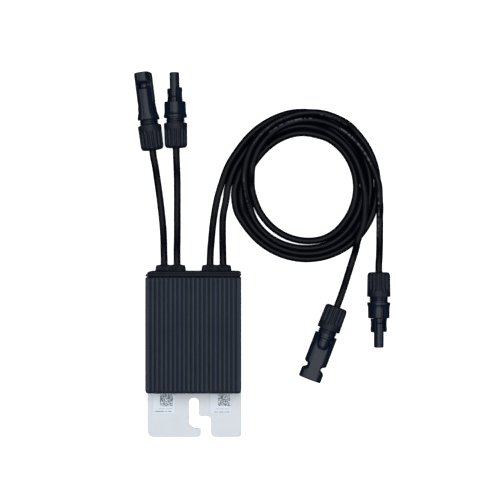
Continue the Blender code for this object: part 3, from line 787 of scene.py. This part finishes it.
def ribbed_section(half, low, high, drop):
    """The housing's outline across its ribs, drawn in by `drop` towards its front end."""
    side = 0.62 * drop
    wide = half - side
    top = high - drop
    floor = min(high - GROOVE_DEPTH, top - 0.12)
    depth = top - floor
    lip = min(0.42, depth * 0.45)
    corners = [(-wide, low + 0.4 * drop, 0.8), (wide, low + 0.4 * drop, 0.8), (wide, top, 1.15)]
    first = RIB_PITCH * (RIB_COUNT - 2) / 2
    reach = GROOVE_W / 2
    for k in range(RIB_COUNT - 1):
        middle = (first - k * RIB_PITCH) * (wide / half)
        corners += [
            (middle + reach + 0.08, top, lip), (middle + reach - 0.14, floor, lip * 0.6),
            (middle - reach + 0.14, floor, lip * 0.6), (middle - reach - 0.08, top, lip),
        ]
    corners.append((-wide, top, 1.15))
    return rounded(corners, 4)


def make_housing(plastic):
    low, high = box_mm("housing_body")
    half = high.x
    rim, fall = 2.9, 3.1
    stations = [(low.y + rim * (1 - math.sin(a)), fall * (1 - math.cos(a)))
                for a in (math.radians(d) for d in (90, 82, 72, 62, 52, 42, 32, 22, 12, 0))]
    stations += [(y, 0.0) for y in np.linspace(low.y + 12.0, high.y - 12.0, 5)]
    stations += [(high.y - 0.45, 0.0), (high.y - 0.14, 0.12), (high.y, 0.42)]
    sections = [(ribbed_section(half, low.z, high.z, drop), y) for y, drop in stations]
    shell = to_mesh("housing", stack_y(sections))
    cavity = to_mesh("cavity", box_form((WALL - half, low.y + WALL + 0.6, low.z + WALL),
                                        (half - WALL, high.y + 1.0, ROOF_Z)))
    steps = [("DIFFERENCE", soften(cavity, 0.8))]
    for side in (-1, 1):
        post = box_form((side * BOSS_X - BOSS_R, 46.0, CABLE_Z - BOSS_R),
                        (side * BOSS_X + BOSS_R, high.y - 0.02, CABLE_Z + BOSS_R))
        steps.append(grow(post))
        steps.append(cut(bar(1.3, 0.0, 16.0, 24), at(side * BOSS_X, 48.0, CABLE_Z, ALONG_Y)))
        steps.append(cut(bar(1.9, 0.0, 6.0, 24), at(side * RIVET_X, RIVET_Y, 0.0)))
    finish_piece("ribbed_housing", carve(shell, steps), plastic,
                 nodes=["housing_body"], sharp=38.0)


def group_middle(node):
    low, high = box_mm(node)
    return (low.x + high.x) / 2


def screw_place(name):
    """Where the underside of a cap screw's head sits, with Z out of the cap."""
    return at(group_middle(name), box_mm(name)[1].y - SCREW_HEAD, CABLE_Z, ALONG_Y)


def make_end_cap(plastic):
    low, high = box_mm("end_cap")
    half = high.x
    # Distance from the joint, then how far the outline is drawn in there: two beads with a groove
    beads = [(0.0, 0.55), (0.2, 0.2), (0.5, 0.06), (0.8, 0.0), (1.35, 0.0), (1.6, 0.1), (1.72, 0.45),
             (1.9, 0.62), (2.12, 0.62), (2.28, 0.45), (2.42, 0.1), (2.7, 0.0), (3.2, 0.04),
             (3.6, 0.28), (3.85, 0.6), (4.0, 0.95), (4.1, 1.5)]
    sections = []
    for along, drop in beads:
        left = drop - half + 3.0 * max(0.0, (along - 0.9) / 3.2) ** 1.25
        right = half - drop - max(0.0, (along - 2.2) / 1.9) ** 2
        floor, top = low.z + drop * 0.6, high.z - drop
        outline = rounded([(left, floor, 0.8), (right, floor, 0.8), (right, top, 1.15),
                           (left, top, 1.15)], 8)
        sections.append((outline, low.y + along))
    cap = to_mesh("cap", stack_y(sections))
    steps = []
    for grommet in ("input_grommet", "output_grommet"):
        middle = group_middle(grommet)
        wide, tall = 11.75, 7.5
        window = rounded_box(middle - wide, CABLE_Z - tall, middle + wide, CABLE_Z + tall, 1.6)
        steps.append(cut(prism_y(window, low.y - 1.0, high.y + 1.0)))
    for name in ("cap_screw_left", "cap_screw_right"):
        bore = lathe([(0.0, -7.0), (1.3, -7.0), (1.3, -0.3), (2.3, -0.3), (2.3, 1.8), (2.7, 2.4),
                      (2.7, 6.0), (0.0, 6.0)], 40)
        steps.append(cut(bore, screw_place(name)))
    finish_piece("end_cap_beaded", carve(cap, steps), plastic,
                 nodes=["end_cap"], sharp=38.0)


def make_grommets(rubber):
    for name in ("input_grommet", "output_grommet"):
        low, high = box_mm(name)
        middle = group_middle(name)
        flange = high.x - middle
        # Distance from the inner end, half width, half height, corner radius
        stations = [
            (0.0, flange - 0.3, 7.6, 1.4), (0.3, flange, 7.9, 1.6), (3.3, flange, 7.9, 1.6),
            (3.6, flange - 0.3, 7.6, 1.5), (3.62, 11.4, 7.2, 1.5), (8.1, 11.4, 7.2, 1.5),
            (8.15, 11.8, 7.7, 2.0), (8.9, 11.75, 7.65, 2.0), (9.6, 11.55, 7.4, 2.1),
            (11.0, 11.45, 7.2, 2.1), (11.7, 11.3, 7.1, 2.1), (12.2, 11.0, 6.8, 2.0),
            (12.5, 10.5, 6.3, 1.8), (12.6, 9.9, 5.7, 1.6),
        ]
        sections = []
        for along, wide, tall, radius in stations:
            outline = rounded_box(middle - wide, CABLE_Z - tall, middle + wide, CABLE_Z + tall, radius)
            sections.append((outline, low.y + along))
        body = to_mesh("grommet", stack_y(sections))
        steps = []
        for lead in (-1, 1):
            place = at(middle + lead * CABLE_SPACING / 2, low.y, CABLE_Z, ALONG_Y)
            collar = [(0.0, 11.0), (4.2, 11.0), (4.2, 12.2), (3.9, 12.75), (3.3, 12.95), (0.0, 12.95)]
            hole = [(0.0, -1.0), (3.1, -1.0), (3.1, 8.0), (2.86, 9.0), (2.86, 12.5), (3.05, 14.0),
                    (0.0, 14.0)]
            steps.append(grow(lathe(collar, 48), place))
            steps.append(cut(lathe(hole, 40), place))
        finish_piece(f"{name}_block", carve(body, steps), rubber, nodes=[name], sharp=45.0)


def make_cap_screws(steel):
    for name in ("cap_screw_left", "cap_screw_right"):
        dome = [(2.0 * math.cos(a), 1.05 + 0.55 * math.sin(a)) for a in
                (math.radians(d) for d in (0, 18, 36, 54, 72))]
        shank = [(1.0 if k % 2 else 0.78, -11.4 + k * 0.5) for k in range(22)]
        profile = [(0.0, -12.0), (0.6, -12.0), *shank, (1.0, 0.0), (1.85, 0.0), (2.0, 0.15), *dome,
                   (0.0, SCREW_HEAD)]
        head = to_mesh("screw", lathe(profile, 40))
        lobes = [Vector((math.cos(a), math.sin(a))) * (0.98 + 0.2 * math.cos(6 * a))
                 for a in (math.tau * k / 60 for k in range(60))]
        mesh = carve(head, [cut(prism(lobes, 0.7, 3.0))])
        mesh.transform(screw_place(name))
        finish_piece(f"{name}_lobed", mesh, steel, nodes=[name])


def make_bracket(coat, steel):
    low, high = box_mm("mounting_bracket")
    slot_left, slot_right, slot_top = -4.5, 3.7, -37.6
    chamber_top, hook_top = -52.0, -61.6
    exit_left, exit_right = 5.0, 13.4
    outline = rounded([
        (low.x, high.y, 2.0), (low.x, low.y, 5.0), (exit_left, low.y, 2.5),
        (exit_left, hook_top, 1.0), (slot_left, hook_top, 5.2), (slot_left, slot_top, 4.0),
        (slot_right, slot_top, 4.0), (slot_right, chamber_top, 1.0), (exit_right, chamber_top, 4.0),
        (exit_right, low.y, 3.5), (high.x, low.y, 2.5), (high.x, high.y, 2.0),
    ], 12)
    # The punched sheet: a rolled edge on the upper side and a sharper one underneath
    def drawn_in(amount):
        made = []
        for k, point in enumerate(outline):
            way = (outline[(k + 1) % len(outline)] - outline[k - 1]).normalized()
            made.append(point + Vector((-way.y, way.x)) * amount)
        return made
    edge = [(0.0, 0.12), (0.12, 0.0), (1.55, 0.0), (1.78, 0.08), (1.94, 0.24), (2.0, 0.45)]
    sheet = to_mesh("sheet", stack_z([(drawn_in(drop), z) for z, drop in edge]))
    steps = []
    for side in (-1, 1):
        sink = lathe([(0.0, -1.0), (3.3, -1.0), (3.3, 0.4), (1.9, 1.7), (1.9, 4.0), (0.0, 4.0)], 40)
        steps.append(cut(sink, at(side * RIVET_X, RIVET_Y, 0.0)))
    finish_piece("bracket_sheet", carve(sheet, steps), coat,
                 nodes=["mounting_bracket"])
    inner = 2.3 + WALL + 0.3
    for side, name in ((-1, "left"), (1, "right")):
        profile = [(0.0, 0.1), (2.7, 0.1), (3.0, 0.2), (2.95, 0.35), (1.6, 1.5), (1.6, inner),
                   (2.25, inner), (2.4, inner + 0.15), (2.2, inner + 0.8), (1.5, inner + 1.15),
                   (0.6, inner + 1.2), (0.5, inner + 0.4), (0.0, inner + 0.4)]
        mesh = to_mesh("rivet", lathe(profile, 40), at(side * RIVET_X, RIVET_Y, 0.0))
        finish_piece(f"bracket_rivet_{name}_set", mesh, steel,
                     nodes=[f"bracket_rivet_{name}"])


def make_labels():
    """Two stickers. Their ink is set out from the lower left corner of each, in millimetres."""
    for name, seed, code, lines in (
        ("left_label", 11.0, (5.5, 6.4, 15.9, 15.9),
         [(3.9, 4.2, 15.5, 4.75, 0.55), (1.7, 1.75, 15.5, 2.6, 0.8)]),
        ("right_label", 23.0, (6.4, 6.4, 16.2, 15.9),
         [(4.9, 3.9, 15.9, 4.45, 0.5), (2.7, 1.3, 15.9, 2.1, 0.75)]),
    ):
        low, high = box_mm(name)
        wide, tall, thick = high - low
        layers = [(rounded_box(drop, drop, wide - drop, tall - drop, 0.8), z)
                  for z, drop in ((0.0, 0.0), (thick - 0.08, 0.0), (thick, 0.08))]
        mesh = to_mesh(name, stack_z(layers))
        paper = make_label(f"label_paper_{name}", seed, code, lines)
        piece = finish_piece(f"{name}_printed", mesh, paper, nodes=[name])
        piece.location = low * MM


# ---------------------------------------------------------------- connectors

NUT_FLUTES = 18
THREAD_PITCH = 1.5


def eased(value, low, high):
    t = min(1.0, max(0.0, (value - low) / (high - low)))
    return t * t * (3 - 2 * t)


def nut_radius(r, z, angle):
    """Scallops between the nut's grip ribs. They fade into the plain rim at the thread side."""
    if r < 8.0:
        return r
    spot = (angle / math.tau * NUT_FLUTES) % 1.0 * 2 - 1
    bowl = max(0.0, 1 - (spot / 0.78) ** 2)
    reach = eased(z, 0.9, 2.6) * (1 - eased(z, 12.6, 15.6))
    return r - 0.8 * bowl ** 0.75 * reach


def finish_part(connector, part, look, mesh, material, moves=False, sharp=36.0):
    """A piece that replaces a connector's part of the same name."""
    node = f"{connector}_{part}"
    finish_piece(f"{connector}_{look}", mesh, material, node if moves else "root", [node], sharp)


def make_nut(name, material):
    outer = [(6.8, 0.0), (7.4, 0.08), (7.9, 0.3), (8.3, 0.7), (8.6, 1.2), (8.83, 1.8), (8.97, 2.4)]
    outer += [(9.05 + 0.18 * (z - 3.2) / 11.9, z) for z in np.arange(3.2, 15.2, 0.7)]
    outer += [(9.25, 15.6), (9.29, 16.2), (9.3, 17.0), (9.3, 19.0), (9.22, 19.35), (9.0, 19.5)]
    inner = [(7.9, 19.5), (7.85, 19.2), (7.85, 11.2), (7.4, 11.2), (4.6, 3.6), (3.2, 3.6), (3.1, 0.5),
             (3.7, 0.0)]
    form = lathe(outer + inner, NUT_FLUTES * 12, loop=True, radius=nut_radius)
    mesh = to_mesh(name, form, axis_frame(name))
    finish_part(name, "gland_nut", "nut_fluted", mesh, material, True, 45.0)


def thread_core(end_profile):
    """The threaded rear end of a connector body, carried on by a plain profile."""
    profile = [(0.0, 12.4), (6.6, 12.4), (6.9, 12.7)]
    profile += [(6.95, z) for z in np.arange(13.0, 23.6, THREAD_PITCH / 8)]

    def radius(r, z, angle):
        if not 12.9 < z < 23.65:
            return r
        phase = (z / THREAD_PITCH - angle / math.tau) % 1.0
        crest = max(0.0, min(1.0, 1.45 - abs(phase * 2 - 1) * 2.3))
        fade = eased(z, 13.0, 14.0) * (1 - eased(z, 22.8, 23.6))
        return r + 0.55 * crest * fade

    return lathe(profile + end_profile, 72, radius=radius)


def shell_section(z, wide, thick, flat_x, flat_y, limit, steps=96):
    """An eight-sided outline with rounded corners, inside a circle of the radius `limit`.

    `wide` and `thick` are half sizes, and `flat_x` and `flat_y` are half the lengths of the flats.
    """
    normal = Vector((thick - flat_y, wide - flat_x)).normalized()
    slant = normal.dot(Vector((wide, flat_y)))
    power = 22
    ring = []
    for k in range(steps):
        angle = math.tau * k / steps
        c, s = abs(math.cos(angle)), abs(math.sin(angle))
        total = ((c / wide) ** power + (s / thick) ** power
                 + ((c * normal.x + s * normal.y) / slant) ** power + (1 / limit) ** power)
        reach = total ** (-1 / power)
        ring.append((reach * math.cos(angle), reach * math.sin(angle), z))
    return ring


def bore_form(contact, length):
    """The stepped bore for the seal, the cable and the contact."""
    return lathe([(0.0, 11.4), (5.4, 11.4), (5.4, 22.8), (3.2, 22.8), (3.2, 31.0), (contact, 31.0),
                  (contact, length + 1.0), (0.0, length + 1.0)], 40)


def make_socket(name, material):
    stations = [
        (23.9, 9.0, 8.7, 5.2, 4.2, 9.5), (24.1, 9.2, 8.9, 5.4, 4.2, 9.7),
        (25.6, 9.25, 8.5, 5.5, 3.8, 9.7), (27.0, 9.25, 7.9, 5.5, 3.5, 9.7),
        (28.5, 9.2, 7.25, 5.5, 3.2, 9.7), (30.0, 9.2, 6.8, 5.4, 3.1, 9.7),
        (33.0, 9.2, 6.6, 5.4, 3.0, 9.7), (36.0, 9.2, 6.2, 5.4, 3.0, 9.7),
        (47.4, 9.2, 6.2, 5.4, 3.0, 9.7), (48.2, 8.9, 6.15, 5.2, 3.0, 9.6),
        (48.8, 8.0, 6.1, 4.8, 3.0, 9.4), (49.4, 6.6, 6.05, 4.2, 3.4, 9.2),
        (50.2, 5.8, 6.0, 3.9, 4.0, 9.2), (51.0, 5.6, 6.0, 3.9, 4.2, 9.2),
        (51.8, 5.8, 6.0, 3.9, 4.2, 9.2), (52.5, 6.8, 6.1, 4.4, 3.8, 9.2),
        (53.1, 7.9, 6.15, 5.0, 3.6, 9.3), (53.8, 8.6, 6.2, 5.4, 3.5, 9.5),
        (54.6, 9.1, 6.25, 5.6, 3.5, 9.6), (55.5, 9.25, 6.25, 5.7, 3.5, 9.7),
        (60.6, 9.25, 6.25, 5.7, 3.5, 9.7), (61.2, 9.05, 6.05, 5.6, 3.4, 9.6),
        (61.5, 8.7, 5.7, 5.4, 3.2, 9.3),
    ]
    shell = to_mesh(f"{name}_shell", loft([shell_section(*station) for station in stations]))
    arch = rounded([(-5.6, 20.0, 0.5), (5.6, 20.0, 0.5), (5.5, 30.6, 2.0), (3.1, 36.2, 3.0),
                    (-3.1, 36.2, 3.0), (-5.5, 30.6, 2.0)])
    steps = []
    for way in (-1, 1):
        steps.append(("DIFFERENCE", soften(to_mesh("arch", prism_y(arch, way * 3.0, way * 12.0)), 0.01)))
    ribs = [(6.95, 23.8), (6.95, 25.3), (7.3, 25.5), (7.3, 26.6), (6.9, 26.8), (6.0, 27.3),
            (6.0, 29.2), (6.4, 29.5), (6.4, 33.0), (5.8, 34.2), (5.0, 38.0), (0.0, 38.0)]
    steps.append(grow(thread_core(ribs)))
    strip = rounded([(-4.3, 37.4, 1.2), (4.3, 37.4, 1.2), (4.3, 60.6, 0.8), (-4.3, 60.6, 0.8)])
    for way in (-1, 1):
        for side in (-1, 1):
            for low, high in ((37.0, 48.0), (53.6, 60.7)):
                steps.append(cut(box_form((side * 4.25, way * 5.3, low), (side * 5.0, way * 9.0, high))))
        steps.append(("UNION", soften(to_mesh("strip", prism_y(strip, way * 5.0, way * 6.4)), 0.2)))
    steps.append(cut(bore_form(2.4, 37.0)))
    mouth = [(0.0, 36.0), (4.3, 36.0), (4.3, 60.8), (4.7, 61.5), (4.7, 62.0), (0.0, 62.0)]
    steps.append(cut(lathe(mouth, 48)))
    for way in (-1, 1):
        steps.append(cut(box_form((way * 4.6, -3.4, 46.0), (way * 6.9, 3.4, 62.0))))
    mesh = carve(shell, steps)
    mesh.transform(axis_frame(name))
    finish_part(name, "body", "body_moulded", mesh, material)


def make_plug(name, material):
    stations = [
        (23.9, 9.0, 8.9, 5.2, 5.0, 9.0), (24.1, 9.25, 9.15, 5.4, 5.2, 9.25),
        (25.3, 9.3, 9.15, 5.4, 5.2, 9.3), (25.9, 9.1, 8.9, 5.4, 5.0, 9.15),
        (27.0, 8.65, 8.4, 5.2, 4.8, 8.8), (28.5, 8.45, 8.05, 5.1, 4.6, 8.65),
        (35.6, 8.4, 8.0, 5.1, 4.6, 8.6), (36.2, 8.2, 7.8, 5.0, 4.5, 8.45),
        (36.5, 7.8, 7.4, 4.8, 4.3, 8.1),
    ]
    shell = to_mesh(f"{name}_shell", loft([shell_section(*station) for station in stations]))
    front = [(6.95, 23.8), (6.95, 26.0), (5.2, 34.0), (4.4, 36.2), (4.4, 38.2), (4.3, 38.4), (3.9, 38.5),
             (3.9, 39.4), (3.3, 39.45), (3.3, 41.15), (3.9, 41.2), (3.9, 56.8), (3.76, 56.9),
             (3.76, 57.2), (3.9, 57.3), (3.9, 59.1), (3.8, 59.5), (3.5, 59.75), (3.2, 59.8), (0.0, 59.8)]
    steps = [cut(box_form((way * -2.9, way * 6.8, 28.5), (way * -1.2, way * 10.0, 37.5)))
             for way in (-1, 1)]
    steps += [grow(thread_core(front)), cut(bore_form(2.1, 59.8))]
    mesh = carve(shell, steps)
    place = axis_frame(name)
    mesh.transform(place)
    finish_part(name, "body", "body_moulded", mesh, material)
    for side, arm in ((-1, "left"), (1, "right")):
        outline = [(side * x, z) for x, z in (
            (5.12, 36.8), (6.28, 36.8), (6.28, 38.0), (6.0, 39.2), (5.95, 43.0), (6.3, 44.6),
            (6.3, 46.2), (5.75, 47.6), (5.2, 47.6), (5.12, 46.8))]
        if side < 0:
            outline.reverse()
        mesh = soften(to_mesh(f"{name}_arm", prism_y(outline, -2.8, 2.8)), 0.18, 2, 25.0)
        mesh.transform(place)
        finish_part(name, f"arm_{arm}", f"arm_{arm}_latch", mesh, material,
                    True, 32.0)


def make_front_seal(name, rubber):
    ring = [(4.2 + 0.48 * math.cos(a), 40.3 + 0.48 * math.sin(a))
            for a in (math.tau * k / 16 for k in range(16))]
    mesh = to_mesh(name, lathe(ring, 56, loop=True), axis_frame(name))
    finish_part(name, "front_seal", "front_seal_ring", mesh, rubber, sharp=80.0)


def make_connectors(nut_plastic, gloss_plastic, rubber):
    """Builds the four connectors, and gives the names of the pieces on each lead."""
    pieces = {}
    for name, (kind, _, _, _) in CONNECTORS.items():
        make_nut(name, nut_plastic)
        pieces[name] = [f"{name}_nut_fluted", f"{name}_body_moulded", f"{name}_collet",
                        f"{name}_cable_seal", f"{name}_contact"]
        if kind == "plug":
            make_plug(name, gloss_plastic)
            make_front_seal(name, rubber)
            pieces[name] += [f"{name}_front_seal_ring", f"{name}_arm_left_latch",
                             f"{name}_arm_right_latch"]
        else:
            make_socket(name, gloss_plastic)
    return pieces


# ---------------------------------------------------------------- what the CAD shape shows

def dress_nodes(rubber):
    """Gives the CAD nodes that stay their materials."""
    copper = make_winding()
    brass = brushed("brass", (0.55, 0.38, 0.14), (0.74, 0.56, 0.26), 0.3)
    tin = brushed("tinned_copper", (0.62, 0.61, 0.58), (0.78, 0.77, 0.74), 0.28, (1.0, 1.0, 0.1), 1500.0)
    can = brushed("can_aluminium", (0.55, 0.56, 0.58), (0.70, 0.71, 0.73), 0.3, (1.0, 1.0, 0.05))
    plate = brushed("spreader_aluminium", (0.60, 0.61, 0.63), (0.74, 0.75, 0.77), 0.36)
    shield = brushed("shield_tin", (0.48, 0.49, 0.50), (0.60, 0.61, 0.62), 0.3)
    resin = grained("resin", (0.030, 0.031, 0.035), (0.060, 0.060, 0.066), 0.45, 1500.0, 0.05)
    ferrite = grained("ferrite", (0.045, 0.045, 0.05), (0.085, 0.083, 0.085), 0.7, 2500.0, 0.06)
    epoxy = grained("epoxy", (0.014, 0.014, 0.016), (0.028, 0.028, 0.031), 0.5, 3000.0, 0.03)
    nylon = grained("nylon", (0.080, 0.080, 0.088), (0.12, 0.12, 0.13), 0.45, 1800.0, 0.04)
    board = make_board()
    by_ending = {
        "cap_gasket": rubber, "cable_seal": rubber, "collet": nylon, "contact": tin,
        "potting_compound": resin, "circuit_board": board, "inductor_core": ferrite,
        "inductor_winding": copper, "capacitor_left": can, "capacitor_right": can,
        "transistor_left": epoxy, "transistor_right": epoxy, "heat_spreader": plate,
        "control_module": shield, "terminal_left": brass, "terminal_right": brass,
    }
    for name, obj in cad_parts.items():
        for ending, material in by_ending.items():
            if name.endswith(ending):
                obj.data.materials.clear()
                obj.data.materials.append(material)


set_stage()
rubber_finish = make_rubber()
housing_finish = make_housing_plastic()
steel_finish = brushed("steel", (0.42, 0.43, 0.45), (0.58, 0.59, 0.61), 0.32, (1.0, 1.0, 0.2), 1400.0)
cap_finish = grained("cap_plastic", (0.0038, 0.0058, 0.0110), (0.0075, 0.0100, 0.0170), 0.50, 2600.0,
                     0.05, specular=0.12)
nut_finish = grained("nut_plastic", (0.0045, 0.0070, 0.0145), (0.0105, 0.0142, 0.0245), 0.42, 2600.0,
                     0.06, specular=0.14)
gloss_finish = grained("connector_plastic", (0.0030, 0.0068, 0.0165), (0.0062, 0.0118, 0.0245), 0.26,
                       2200.0, 0.03, specular=0.22, spread=0.05)
make_housing(housing_finish)
make_end_cap(cap_finish)
make_grommets(rubber_finish)
make_cap_screws(steel_finish)
make_bracket(make_sheet_coat(), steel_finish)
make_labels()
connector_pieces = make_connectors(nut_finish, gloss_finish, rubber_finish)
dress_nodes(rubber_finish)
make_leads()
